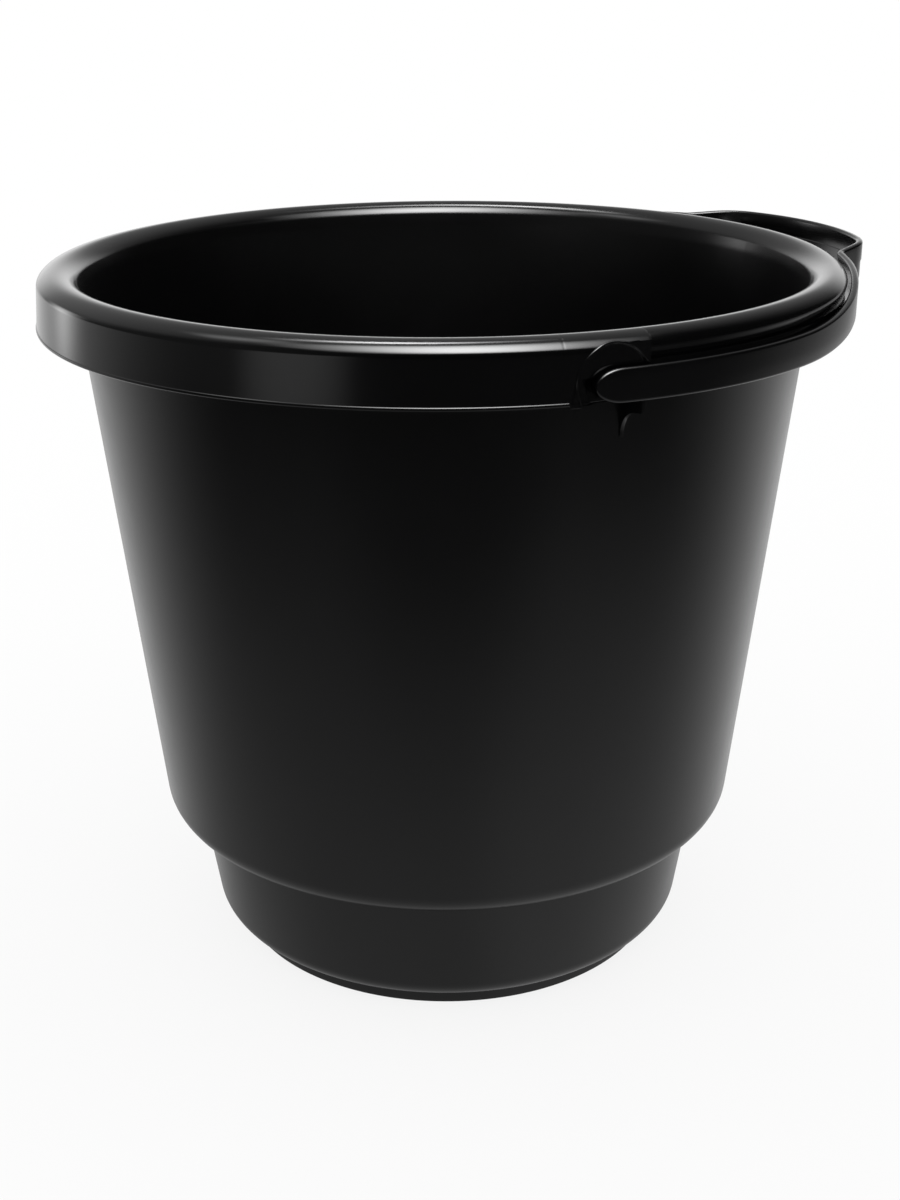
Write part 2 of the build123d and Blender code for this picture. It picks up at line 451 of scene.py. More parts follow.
def plastic(name, colour, roughness_of):
    """Black moulded polypropylene: a little uneven in colour, with a fine skin and shallow sink marks.
    roughness_of gives the roughness at a place."""
    material = bpy.data.materials.new(name)
    tree = empty_tree(material)
    place = tree.node("ShaderNodeTexCoord", out="Object")
    swirl = noise(place, *SWIRLS)
    grain = noise(place, *GRAIN)
    pale = [part * PALE_SHARE for part in colour]
    cloudy = band(noise(place, *CLOUDS), *PALE_CLOUDS)
    blend = {MIX_FACTOR: cloudy, MIX_FIRST: (*colour, 1), MIX_SECOND: (*pale, 1)}
    base = tree.node("ShaderNodeMix", {"data_type": "RGBA"}, blend, out=MIX_RESULT)
    roughness = roughness_of(place) + (swirl - 0.5) * SWIRL_ROUGHNESS
    marks = {"Strength": SINK_STRENGTH, "Distance": SINK_DEPTH, "Height": swirl}
    sunk = tree.node("ShaderNodeBump", {}, marks)
    skin = {"Strength": SKIN_STRENGTH, "Distance": SKIN_DEPTH, "Height": grain, "Normal": sunk}
    normal = tree.node("ShaderNodeBump", {}, skin)
    inputs = {"Base Color": base, "Roughness": roughness, "Normal": normal, "IOR": PLASTIC_IOR}
    surface = tree.node("ShaderNodeBsdfPrincipled", {}, inputs)
    tree.node("ShaderNodeOutputMaterial", {}, {"Surface": surface})
    return material


def body_plastic(look, rim_start, rim_end):
    """Satin wall that gets smoother on the rim, between two radii."""

    def roughness(place):
        flatten = {0: place, 1: ALONG_X + ALONG_Y}
        flat = place.node("ShaderNodeVectorMath", {"operation": "MULTIPLY"}, flatten, out="Vector")
        smoother = look.rim_roughness - look.wall_roughness
        return band(length_of(flat), rim_start, rim_end) * smoother + look.wall_roughness

    return plastic("body_plastic", look.body_colour, roughness)


def bail_plastic(look):
    """Smooth strap, a little duller where the noise is high."""

    def roughness(place):
        smoothest = look.bail_roughness - SPOT_ROUGHNESS / 2
        return noise(place, *DULL_SPOTS) * SPOT_ROUGHNESS + smoothest

    return plastic("bail_plastic", look.bail_colour, roughness)


class ShellLevels:
    """Levels, radii and places in the section that follow from the sizes."""

    def __init__(self, shell, ear, bail):
        self.slope = tan(shell.wall_draft)
        self.mouth_level = RIM_TOP - shell.mouth_drop
        self.skirt_bottom = RIM_TOP - shell.skirt_height
        self.rim_radius = shell.mouth_radius + shell.rim_width
        self.knee_level = RIM_TOP - shell.knee_drop
        self.knee_radius = shell.mouth_radius + (self.knee_level - self.mouth_level) * self.slope
        self.step_radius = shell.mouth_radius - (self.mouth_level - shell.step_level) * self.slope
        self.foot_top = self.step_radius - shell.step_width
        foot_height = shell.step_level - shell.floor_level
        self.foot_radius = self.foot_top - foot_height * tan(shell.foot_draft)
        self.ring_radius = self.foot_radius - shell.ring_inset
        self.knee = Vector((self.knee_radius, self.knee_level))
        self.hem = Vector((self.rim_radius, self.skirt_bottom))
        self.crown = Vector((self.rim_radius - shell.crown_inset, RIM_TOP - shell.crown_round))
        strap_inner = STRAP_OUTER - bail.thickness
        self.pin_root = sqrt((strap_inner + bail.thickness / 2) ** 2 - PIVOT_X**2)
        self.rebate_radius = strap_inner - ear.rebate_gap
        self.seat = sqrt(strap_inner**2 - (PIVOT_X - bail.tongue) ** 2) - ear.seat_gap
        self.ear_edge = PIVOT_X + ear.right
        self.pocket_floor = self.seat - ear.pocket_depth
        self.ear_back = self.pocket_floor - shell.wall


# How finely the shell is drawn: runs of its section, and steps round its axis
SKIRT_RUN = 0.4 * MM
SKIRT_BACK_RUN = 1.2 * MM
WALL_STEP = radians(1.8)
EAR_STEP = radians(0.125)

MARGIN = 1 * MM
ROUND_MARGIN = 0.999
NEARLY_ZERO = 1e-6


def meet(start, slope, other, other_slope):
    """Where two lines of the section meet. The slopes are how far out each goes for its rise."""
    rise = (other.x - start.x + (start.y - other.y) * other_slope) / (slope - other_slope)
    return start + Vector((slope * rise, rise))


def corner_round(start, corner, end):
    """Radius of the round at a corner that begins at start, on the way to end."""
    into = (corner - start).normalized()
    away = (end - corner).normalized()
    return (corner - start).length / tan(into.angle(away) / 2)


def roll_line(shell, at):
    """Where the crowned roll begins, the corner before it, its crest, the corner after it, and its end."""
    begin = at.crown + Vector((-sin(shell.inner_tilt), cos(shell.inner_tilt))) * shell.crown_round
    end = at.crown + Vector((sin(shell.outer_tilt), cos(shell.outer_tilt))) * shell.crown_round
    crest = meet(begin, 1 / tan(shell.inner_tilt), end, -1 / tan(shell.outer_tilt))
    inner = meet(begin, 1 / tan(shell.inner_tilt), at.knee, shell.knee_run / shell.knee_drop)
    outer = meet(end, -1 / tan(shell.outer_tilt), at.hem, -shell.rim_lean / shell.skirt_height)
    return begin, inner, crest, outer, end


def inside_line(shell, at, lipped=True):
    """Corners of the line from the floor's middle along the inside and over the rim to the skirt's edge."""
    skirt_slope = -shell.rim_lean / shell.skirt_height
    begin, inner, crest, outer, end = roll_line(shell, at)
    lip_top = at.hem + Vector((skirt_slope, 1)) * (shell.lip_height + shell.lip_reach)
    lip_front = at.hem + Vector((shell.lip_reach, shell.lip_height))
    lip = [
        Corner(lip_top, 0, PLAIN_FACET, SKIRT_RUN),
        Corner(lip_front, shell.lip_reach / 2, LIP_FACET),
    ]
    edge = at.hem + Vector((shell.lip_reach if lipped else 0, 0))
    return [
        corner_at(0, shell.floor_level),
        corner_at(at.foot_radius, shell.floor_level, shell.foot_corner),
        corner_at(at.foot_top, shell.step_level, shell.foot_edge),
        corner_at(at.step_radius, shell.step_level, shell.step_corner),
        Corner(at.knee, shell.knee_round, RIM_FACET),
        Corner(inner, corner_round(begin, inner, at.knee), RIM_FACET),
        Corner(crest, shell.crown_round * ROUND_MARGIN, CROWN_FACET),
        Corner(outer, corner_round(end, outer, at.hem) * ROUND_MARGIN, RIM_FACET),
        *(lip if lipped else []),
        Corner(edge, shell.skirt_round / 2, LIP_FACET, SKIRT_RUN),
    ]


def right_of(ahead):
    """Unit normal on the right of a direction."""
    return Vector((ahead.y, -ahead.x))


def outside_line(corners, wall):
    """Corners of the same line one wall further out."""
    ahead = [(end.place - start.place).normalized() for start, end in zip(corners, corners[1:])]
    moved = []
    for index, corner in enumerate(corners):
        into = ahead[max(index - 1, 0)]
        away = ahead[min(index, len(ahead) - 1)]
        mitre = (right_of(into) + right_of(away)) * (wall / (1 + into.dot(away)))
        turn = into.cross(away)
        rounded = 0
        if abs(turn) > NEARLY_ZERO:
            rounded = corner.round + (wall if turn > 0 else -wall)
        moved.append(Corner(corner.place + mitre, rounded, OUTSIDE_FACET))
    return moved


def shell_section(shell, at):
    """Corners of the whole section: the inside, the rim, and back along the outside to the ring."""
    inside = inside_line(shell, at)
    outside = outside_line(inside_line(shell, at, lipped=False), shell.wall)[::-1]
    outside[1] = outside[1]._replace(run=SKIRT_BACK_RUN)
    under = outside.pop()
    ring_inner = at.ring_radius - shell.ring_width
    ring = [
        corner_at(at.ring_radius, under.place.y),
        corner_at(at.ring_radius, 0, shell.ring_round, RING_FACET),
        corner_at(ring_inner, 0, shell.ring_round, RING_FACET),
        corner_at(ring_inner, under.place.y),
    ]
    return [*inside, *outside, *ring, under]


def turn_shell(shell, ear, at):
    """Spins the section round, with fine steps over both ears, and closes the skin."""
    corners = shell_section(shell, at)
    start = corners[0].place
    piece = begin_line("bucket_shell", ALONG_X * start.x + ALONG_Z * start.y)
    draw_corners(corners, ALONG_X, ALONG_Z)
    select_all()
    before = atan2(at.ear_edge + MARGIN, at.seat)
    after = atan2(ear.seam + MARGIN - PIVOT_X, at.seat)
    over_ear = (before + after, EAR_STEP)
    half_front = (radians(90) - before, WALL_STEP)
    back = (radians(180) - 2 * after, WALL_STEP)
    for turn, step in (half_front, over_ear, back, over_ear, half_front):
        draw_arc(Vector(), ALONG_Z, turn, ceil(turn / step))
    close_piece()
    return piece


def rim_faces(shell, at, level):
    """Radius of the rim's outer face at each level, and the level where the skirt begins."""
    _, _, _, outer, end = roll_line(shell, at)
    lean = atan2(shell.rim_lean, shell.skirt_height)
    rounded = corner_round(end, outer, at.hem)
    middle = end - Vector((sin(shell.outer_tilt), cos(shell.outer_tilt))) * rounded
    skirt_top = middle.y + rounded * sin(lean)
    over = np.clip(level, at.crown.y, RIM_TOP) - at.crown.y
    roll = at.crown.x + np.sqrt(shell.crown_round**2 - over**2)
    turned = np.clip(level, middle.y, end.y) - middle.y
    corner = middle.x + np.sqrt(rounded**2 - turned**2)
    skirt = at.rim_radius - (level - at.skirt_bottom) * (shell.rim_lean / shell.skirt_height)
    face = np.where(level > end.y, roll, np.where(level > skirt_top, corner, skirt))
    return face, skirt_top


# Where the forms of an ear fade in, from none to full
RELIEF_ACROSS = (-13 * MM, -5 * MM)
RELIEF_ABOVE = (0, 3 * MM)
SEAT_EDGE = (-0.1 * MM, 0.6 * MM)
LEDGE_EDGE = (0, 0.5 * MM)
POCKET_EDGE = (-0.3 * MM, 0.3 * MM)
BOX_EDGE = (-0.5 * MM, 0.5 * MM)
BEAD_ACROSS = (10 * MM, 5 * MM)
BEAD_ABOVE = (-12.5 * MM, -9.5 * MM)
HANG_HEIGHT = 2.5 * MM

GROOVE_WIDTH = 0.35 * MM
GROOVE_DEPTH = 0.22 * MM
SEAM_WIDTH = 0.3 * MM
SEAM_DEPTH = 0.04 * MM
SEAM_REACH = 6 * MM
RIM_WALLS = 3
WIDEST_ANGLE = 1.2
LEFT_EDGE_SHARE = 0.6
HEM_DEPTH_SHARE = 0.7
HEM_SQUEEZE = 0.1


class RimPlaces:
    """Where the shell's vertices lie on the rim, and beside the pin of the nearer ear."""

    def __init__(self, places, shell, ear, at):
        x, y, self.level = places.T.copy()
        self.radius = np.hypot(x, y)
        angle = np.arctan2(x, np.abs(y))
        self.square = np.cos(angle)
        self.across = at.seat * np.tan(np.clip(angle, -WIDEST_ANGLE, WIDEST_ANGLE)) - PIVOT_X
        self.above = self.level - PIVOT_LEVEL
        self.reach = np.hypot(self.across, self.above)
        self.face, self.skirt_top = rim_faces(shell, at, self.level)
        self.depth = self.face - self.radius
        self.on_roll = self.level > self.skirt_top
        over_hem = self.level > at.skirt_bottom - MARGIN
        self.on_rim = (self.radius > at.crown.x) & over_hem & (self.depth < RIM_WALLS * shell.wall)
        self.near_ear = np.abs(y) > at.rim_radius / 2
        self.behind_bail = self.across > ear.right
        self.in_ear = ~self.behind_bail & (self.across > -ear.left - ear.lean) & self.near_ear
        lean_height = shell.skirt_height * LEFT_EDGE_SHARE
        self.left_edge = -ear.left + ear.lean * (self.level - at.skirt_bottom) / lean_height
        self.right_of_edge = self.in_ear & (self.across > self.left_edge)


def ear_front(rim, ear, at):
    """Radius of the ears' front: the trimmed roll, the round seat with its pocket, and the left groove."""
    inside = ear.radius - rim.reach
    lower = rim.above < ear.split
    seat = at.seat / rim.square
    front = rim.face
    relief = climb(rim.across, *RELIEF_ACROSS) * climb(rim.above, *RELIEF_ABOVE)
    front = np.minimum(front, front + (seat + ear.relief - front) * relief)
    sunk = np.maximum(climb(inside, *SEAT_EDGE), (rim.across > 0) & (rim.above < 0))
    front = np.minimum(front, front + (seat - front) * sunk)
    front = front - climb(inside, *LEDGE_EDGE) * lower * ear.ledge
    pocket = climb(ear.pocket_radius - rim.reach, *POCKET_EDGE) * lower
    front = front - pocket * (ear.pocket_depth - ear.ledge)
    groove = ridge(rim.across, rim.left_edge, GROOVE_WIDTH) * GROOVE_DEPTH
    return front - groove * (inside < 0) * (rim.above < ear.radius / 2)


def ear_back(rim, shell, ear, at):
    """Radius of the ears' back, which boxes the pocket in."""
    back = (at.seat - shell.wall) / rim.square
    boxed = climb(ear.pocket_radius + shell.wall - rim.reach, *BOX_EDGE)
    boxed = boxed * (rim.above < ear.split + shell.wall)
    back = back + (at.ear_back - at.seat + shell.wall) * boxed
    return np.where(rim.on_roll, rim.radius, back)


def rebate_face(rim, shell, ear, at):
    """Radius of the trimmed half of the rim: the roll drawn in, and the hollow under it."""
    widest = rim_faces(shell, at, np.array([rim.skirt_top]))[0]
    squeeze = (at.rebate_radius - at.crown.x) / (widest - at.crown.x)
    below = rim.skirt_top - rim.level
    hollow = np.minimum(np.clip(below, 0, None), np.clip(ear.undercut_height - below, 0, None))
    roll = at.crown.x + (rim.face - at.crown.x) * squeeze
    return np.where(rim.on_roll, roll, at.rebate_radius - hollow * tan(ear.undercut))


def press_ears(piece, shell, ear, at):
    """Presses the rebate and both ears into the rim, which keeps its thickness."""
    places = vertex_places(piece)
    rim = RimPlaces(places, shell, ear, at)
    rebate = rebate_face(rim, shell, ear, at)
    front = np.where(rim.in_ear, ear_front(rim, ear, at), rim.face)
    front = np.where(rim.behind_bail, rebate, front)
    back = np.where(rim.in_ear, ear_back(rim, shell, ear, at), rim.radius)
    back = np.minimum(np.where(rim.behind_bail, rebate - shell.wall, back), rim.radius)

    hem = rim.right_of_edge & (rim.level < at.skirt_bottom + shell.skirt_round)
    hem = hem & (rim.depth < HEM_DEPTH_SHARE * shell.wall)
    depth = np.where(hem, rim.depth * HEM_SQUEEZE, rim.depth)
    through = np.clip(depth / shell.wall, 0, 1)
    pressed = (front - depth) * (1 - through) + back * through
    pressed = np.minimum(pressed, rim.radius + np.where(hem, shell.skirt_round, 0))
    moved = np.where(rim.on_rim, pressed, rim.radius)
    places[:, :2] *= (moved / np.maximum(rim.radius, NEARLY_ZERO))[:, None]

    hang = climb(rim.level, at.skirt_bottom + HANG_HEIGHT, at.skirt_bottom) * ear.drop
    places[:, 2] -= np.where(rim.on_rim & rim.right_of_edge, hang, 0)
    seams = ridge(rim.across, -ear.seam, SEAM_WIDTH) + ridge(rim.across, ear.right, SEAM_WIDTH)
    seamed = rim.on_roll & rim.near_ear & (rim.radius > at.crown.x - SEAM_REACH) & (depth < shell.wall)
    places[:, 2] -= np.where(seamed, seams * SEAM_DEPTH, 0)
    move_vertices(piece, places)


GUSSET_BEVEL = {
    "width": 0.3 * MM,
    "segments": 2,
    "limit_method": "ANGLE",
    "angle_limit": radians(45),
}


def make_gusset(shell, ear, at, side):
    """The rib between one ear's right edge and the wall. side is the direction out of that ear."""

    def wall_at(level):
        """How far out the wall lies beside the rib."""
        lean = (at.mouth_level - level) * at.slope
        outside = shell.mouth_radius - lean + shell.wall / cos(shell.wall_draft)
        return sqrt(outside**2 - at.ear_edge**2)

    bottom = at.skirt_bottom - ear.gusset_drop
    inner = bottom - ear.gusset_slope
    tip = bottom - ear.gusset_tail
    sunk = shell.wall / 2
    under_roll = RIM_TOP - shell.wall
    outer = at.seat - shell.wall / 4
    corners = [
        corner_at(outer, under_roll),
        corner_at(outer, bottom),
        corner_at(wall_at(inner), inner, ear.gusset_round),
        corner_at(wall_at(tip) + sunk / 2, tip),
        corner_at(wall_at(tip) - sunk, tip),
        corner_at(wall_at(at.knee_level) - sunk, at.knee_level),
        corner_at(at.knee_radius + shell.knee_run + sunk, under_roll),
        corner_at(outer, under_roll),
    ]
    left_face = at.ear_edge - ear.gusset_inset - ear.gusset_thickness
    piece = begin_line("gusset", side * outer + ALONG_Z * under_roll + ALONG_X * left_face)
    draw_corners(corners, side, ALONG_Z)
    merge_doubles()
    bpy.ops.mesh.edge_face_add()
    thick = {"value": ALONG_X * ear.gusset_thickness}
    bpy.ops.mesh.extrude_region_move(TRANSFORM_OT_translate=thick)
    close_piece()
    add_modifier(piece, "BEVEL", **GUSSET_BEVEL)
    return piece


BEAD_STEPS = 10
RING_STEPS = 96


def make_ring(shell, ear, at, side):
    """The bead round one ear's seat. It follows the rim's face, and sinks into it on the bail's side."""
    reach = ear.radius + ear.ring / 4
    piece = begin_line("ring", PIVOT + ALONG_X * (reach + ear.ring))
    draw_arc(PIVOT + ALONG_X * reach, ALONG_Z, FULL_TURN, BEAD_STEPS)
    select_all()
    draw_arc(PIVOT, ALONG_Y, FULL_TURN, RING_STEPS)
    set_mode("OBJECT")
    places = vertex_places(piece)
    swing = np.arctan2(places[:, 2] - PIVOT_LEVEL, places[:, 0] - PIVOT_X)
    across = reach * np.cos(swing)
    above = reach * np.sin(swing)
    face = rim_faces(shell, at, PIVOT_LEVEL + above)[0]
    face = np.minimum(np.sqrt(face**2 - (PIVOT_X + across) ** 2), at.seat + ear.relief)
    shown = climb(across, *BEAD_ACROSS) * climb(above, *BEAD_ABOVE)
    sunk = at.seat - shell.wall / 2
    places[:, 1] += sunk + (face - ear.ring / 4 - sunk) * shown
    places[:, 1] *= side.y
    places[:, 2] = np.maximum(places[:, 2], at.skirt_bottom)
    move_vertices(piece, places)
    set_mode("EDIT")
    close_piece()
    return piece


# How finely the strap's line is drawn, the nose in degrees of its round
NOSE_STOPS = range(10, 91, 8)
HALF_RIM_STEPS = 60
NECK_STEPS = 8
CORNER_STEPS = 8
BOW_STEPS = 24

# The ribbon's height under, along and over the parting line, as shares of it
RIBBON_SHARES = (0.49, 0.02, 0.49)
SHARP_ANGLE = radians(50)
EDGE_SEGMENTS = 3


def heading_of(direction):
    """Angle of a direction seen from above."""
    return atan2(direction.y, direction.x)


def across_from(point):
    """The same point on the other side of the bucket."""
    return Vector((point.x, -point.y, 0))


def strap_plan(bail):
    """Middles of the strap's arcs seen from above, up to the grip's middle, and the flare's directions."""
    middle = Vector((0, 0))
    edge = Vector((GRIP_TIP - bail.grip_bow, -bail.grip_half))
    flare = Vector((cos(bail.grip_flare), sin(bail.grip_flare)))
    out = right_of(flare)
    bow_radius = (bail.grip_half**2 + bail.grip_bow**2) / (2 * bail.grip_bow)
    bow = Vector((GRIP_TIP - bow_radius, 0))

    def beside(start, target, distance):
        """The last point on the line through start along the flare that has this distance to target."""
        away = start - target
        passed = away.dot(flare)
        return start + flare * (sqrt(passed**2 - away.length_squared + distance**2) - passed)

    neck = beside(edge + out * bail.neck, middle, STRAP_OUTER + bail.neck)
    corner = beside(edge - out * bail.grip_corner, bow, bow_radius - bail.grip_corner)
    return middle, neck, corner, bow, flare, out


def draw_strap(bail):
    """Draws the strap's outer line at the height 0, from one tongue round the grip to the other."""
    middle, neck, corner, bow, flare, out = strap_plan(bail)
    nose_end = PIVOT_X + bail.nose - bail.tongue
    ends = [nose_end - bail.nose * cos(radians(stop)) for stop in NOSE_STOPS]
    stops = [-acos(end / STRAP_OUTER) for end in ends]
    neck_angle = heading_of(neck - middle)
    bow_angle = heading_of(corner - bow)
    neck_turn = heading_of(flare) - neck_angle - pi / 2
    corner_turn = bow_angle + pi / 2 - heading_of(flare)
    flare_start = neck - out * bail.neck
    flare_end = corner + out * bail.grip_corner
    start = middle + Vector((cos(stops[0]), sin(stops[0]))) * STRAP_OUTER
    half = [
        *[(middle, further - angle, 1) for angle, further in zip(stops, stops[1:])],
        (middle, neck_angle - stops[-1], HALF_RIM_STEPS),
        (neck, neck_turn, NECK_STEPS),
    ]

    piece = begin_line("bail_strap", start.to_3d())
    for centre, turn, steps in half:
        draw_arc(centre.to_3d(), ALONG_Z, turn, steps)
    draw_run(flare_start.to_3d(), flare_end.to_3d())
    draw_arc(corner.to_3d(), ALONG_Z, corner_turn, CORNER_STEPS)
    draw_arc(bow.to_3d(), ALONG_Z, -2 * bow_angle, BOW_STEPS)
    draw_arc(across_from(corner), ALONG_Z, corner_turn, CORNER_STEPS)
    draw_run(across_from(flare_end), across_from(flare_start))
    for centre, turn, steps in half[::-1]:
        draw_arc(across_from(centre), ALONG_Z, turn, steps)
    return piece


def ease(part):
    """Two arcs that meet halfway, from 0 to 1."""
    part = np.clip(part, 0, 1)
    return np.where(part < 0.5, 2 * part**2, 1 - 2 * (1 - part) ** 2)


def strap_edges(bail, x):
    """Levels of the strap's lower and upper edge."""
    nose_end = PIVOT_X + bail.nose - bail.tongue
    nose_part = np.clip((nose_end - x) / bail.nose, 0, 1)
    half = bail.height / 2 * np.sqrt(1 - nose_part**2)
    grip_bottom = GRIP_TOP - bail.grip_height
    rise = ease((x - GRIP_TIP) / bail.rise + 1)
    sag = ease((x - GRIP_TIP + bail.grip_bow) / bail.sag + 1)
    lower = PIVOT_LEVEL - half
    upper = PIVOT_LEVEL + half
    return lower + (grip_bottom - lower) * sag, upper + (GRIP_TOP - upper) * rise


def raise_strap(piece, bail):
    """Extrudes the line into a ribbon between the strap's edges, and gives it its thickness."""
    select_all()
    for part in RIBBON_SHARES:
        bpy.ops.mesh.extrude_region_move(TRANSFORM_OT_translate={"value": ALONG_Z * part * MM})
    close_piece()
    places = vertex_places(piece)
    lower, upper = strap_edges(bail, places[:, 0])
    places[:, 2] = lower + (upper - lower) * places[:, 2] / MM
    move_vertices(piece, places)
    add_modifier(piece, "SOLIDIFY", thickness=bail.thickness, offset=-1, use_even_offset=True)


def round_strap(piece, bail):
    """Rounds the strap's sharp edges, apart from those across its ends."""
    set_mode("EDIT")
    bpy.ops.mesh.select_mode(type="EDGE")
    bpy.ops.mesh.select_all(action="DESELECT")
    bpy.ops.mesh.edges_select_sharp(sharpness=SHARP_ANGLE)
    set_mode("OBJECT")
    end = min(vertex.co.x for vertex in piece.data.vertices) + bail.tongue / 20
    for edge in piece.data.edges:
        if all(piece.data.vertices[index].co.x < end for index in edge.vertices):
            edge.select = False
    set_mode("EDIT")
    bpy.ops.mesh.bevel(offset=bail.edge, segments=EDGE_SEGMENTS, affect="EDGES", clamp_overlap=False)
    close_piece()


def part_grip(piece, bail):
    """Sets the grip's lower half in at the parting line."""
    places = vertex_places(piece)
    x, y, z = places.T
    bow = strap_plan(bail)[3]
    lower, upper = strap_edges(bail, x)
    outward = np.stack((x - bow.x, y), axis=1)
    outward /= np.linalg.norm(outward, axis=1)[:, None]
    inset = bail.parting * climb(x, GRIP_TIP - bail.grip_reach, GRIP_TIP - bail.grip_reach / 2)
    inset = np.where(z < (lower + upper) / 2, inset, 0)
    places[:, :2] -= outward * inset[:, None]
    move_vertices(piece, places)


PIN_STEPS = 40
LUG_STEPS = 48


def turn_profile(name, profile, side, steps):
    """Turns a profile about the hinge's line, out of one ear, and stays in edit mode."""
    piece = begin_line(name, PIVOT + side * profile[0].place.y)
    draw_corners(profile, ALONG_X, side)
    select_all()
    draw_arc(PIVOT, side, FULL_TURN, steps)
    close_skin()
    return piece


def make_pin(bail, at, side):
    """A split pin with its head, at one end of the strap."""
    head_seat = at.ear_back - bail.stop_gap
    head_tip = head_seat - bail.pin_head
    head_radius = bail.pin_radius + bail.pin_lip
    profile = [
        corner_at(0, head_tip),
        corner_at(bail.pin_radius, head_tip),
        corner_at(head_radius, head_tip + bail.pin_lip),
        corner_at(head_radius, head_seat),
        corner_at(bail.pin_radius, head_seat),
        corner_at(bail.pin_radius, at.pin_root),
        corner_at(0, at.pin_root),
    ]
    pin = turn_profile("pin", profile, side, PIN_STEPS)
    set_mode("OBJECT")

    slot_length = at.pocket_floor - head_tip
    slot_middle = head_tip + slot_length / 2 - MARGIN / 2
    bpy.ops.mesh.primitive_cube_add(size=1, location=PIVOT + side * slot_middle)
    slot = bpy.context.object
    slot.scale = (bail.pin_slot, slot_length + MARGIN, 4 * bail.pin_radius)
    bpy.ops.object.transform_apply(location=True, rotation=True, scale=True)
    add_modifier(pin, "BOOLEAN", operation="DIFFERENCE", object=slot, solver="EXACT")
    bpy.data.objects.remove(slot)
    return pin


def make_lug(bail, ear, at, side):
    """The lug at one end of the strap that stops the bail's travel."""
    start = at.pocket_floor + bail.stop_gap
    profile = [
        corner_at(0, start),
        corner_at(bail.height / 2, start),
        corner_at(bail.height / 2, at.pin_root),
        corner_at(0, at.pin_root),
    ]
    lug = turn_profile("lug", profile, side, LUG_STEPS)
    split = ear.split - bail.stop_gap
    for angle in (pi / 2 - BAIL_TRAVEL, pi / 2):
        away = ALONG_X * cos(angle) + ALONG_Z * sin(angle)
        select_all()
        bpy.ops.mesh.bisect(plane_co=PIVOT + away * split, plane_no=away, use_fill=True, clear_outer=True)
    close_piece()
    return lug


RIM_GLOSS = (1 * MM, 2 * MM)


class BUCKET_OT_shell(Operator):
    """Model the moulded shell with its rolled rim, ears and gussets"""

    bl_idname = "bucket.shell"
    bl_label = "Shell"

    def execute(self, context):
        sizes = context.scene.bucket
        shell, ear = sizes.shell, sizes.ear
        at = ShellLevels(shell, ear, sizes.bail)
        piece = turn_shell(shell, ear, at)
        press_ears(piece, shell, ear, at)
        gussets = [make_gusset(shell, ear, at, side) for side in EAR_SIDES]
        rings = [make_ring(shell, ear, at, side) for side in EAR_SIDES]
        material = body_plastic(sizes.look, *[at.knee_radius + past for past in RIM_GLOSS])
        finish_piece(piece, gussets + rings, "bucket", "bucket_body", material)
        return {"FINISHED"}


class BUCKET_OT_bail(Operator):
    """Model the folding bail with its grip, split pins and stop lugs"""

    bl_idname = "bucket.bail"
    bl_label = "Bail"

    def execute(self, context):
        sizes = context.scene.bucket
        bail, ear = sizes.bail, sizes.ear
        at = ShellLevels(sizes.shell, ear, bail)
        piece = draw_strap(bail)
        raise_strap(piece, bail)
        round_strap(piece, bail)
        part_grip(piece, bail)
        ends = []
        for side in EAR_SIDES:
            ends.append(make_pin(bail, at, side))
            ends.append(make_lug(bail, ear, at, side))
        finish_piece(piece, ends, "bail", "bail_handle", bail_plastic(sizes.look))
        return {"FINISHED"}


VIEW_HEADING = radians(-24.42)
VIEW_AHEAD = Vector((-sin(VIEW_HEADING), cos(VIEW_HEADING), 0))
VIEW_RIGHT = Vector((cos(VIEW_HEADING), sin(VIEW_HEADING), 0))
CAMERA_DISTANCE = 680.67 * MM
CAMERA_HEIGHT = 404.0 * MM
CAMERA_PITCH = radians(21.19)
CAMERA_YAW = radians(0.147)
CAMERA_ROLL = radians(-0.287)
CAMERA_LENS = 51.08

FLOOR_SIZE = 12
LAMP_TARGET = ALONG_Z * 0.15
EVEN_SHARE = 0.2

# Soft boxes: name, metres to the right, ahead and up as the camera looks, width, height, and watts
SOFTBOXES = (
    ("softbox_left", -1.3, 0.75, 0.3, 0.7, 0.7, 5),
    ("softbox_side", -0.85, 0.2, 1.75, 0.9, 0.6, 3.5),
    ("softbox_top", 0.1, -0.48, 1.75, 2.1, 1.5, 205),
    ("softbox_strip", -0.15, 0.6, 1.75, 1.0, 0.3, 19),
)

# The room that the plastic reflects: where its parts begin and are full, and how bright they are
HAZE = VIEW_AHEAD * 4 - VIEW_RIGHT + ALONG_Z * 4
HAZE_SPREAD = (0.35, 0.95)
HAZE_LEVEL = 0.4
WINDOW = VIEW_AHEAD * -10 - VIEW_RIGHT * 8
WINDOW_SPREAD = (0.95, 1)
WINDOW_TOP = (0, 0.1)
WINDOW_LEVEL = 0.6
LEFT_SPREAD = (0.2, 0.8)
LEFT_LEVEL = 0.1
BACKDROP_SPREAD = (0.72, 0.96)
BACKDROP_TOP = (0.12, 0.4)
ROOM_LEVEL = 0.015

# The painted glow of the floor that the plastic reflects, by the distance from the bucket's middle and by
# the direction
GLOW_START = 0.14
GLOW_END = 0.5
GLOW_WIDER = 0.15
GLOW_LEVEL = 0.35
ASIDE_SPREAD = (0, 0.35)
ASIDE_LOSS = 0.04
RIGHT_SPREAD = (0, 0.4)
RIGHT_GAIN = 0.12
FAR_FLOOR = (1.2, 2.5)
DIM_FLOOR = 0.05
WHITE_FLOOR = 0.95
WHITE_SPREAD = (-0.45, 0.95)
DULL_START = (0.7, 1.3)
DULL_SPREAD = (0.2, 0.7)
DULL_LOSS = 0.55
MIDDLE = 0.01

# How much of the floor's white is its own, where it keeps the shadow, and where that fades out
OWN_WHITE = 0.85
SHADOW_FADE = (0.35, 1.3)


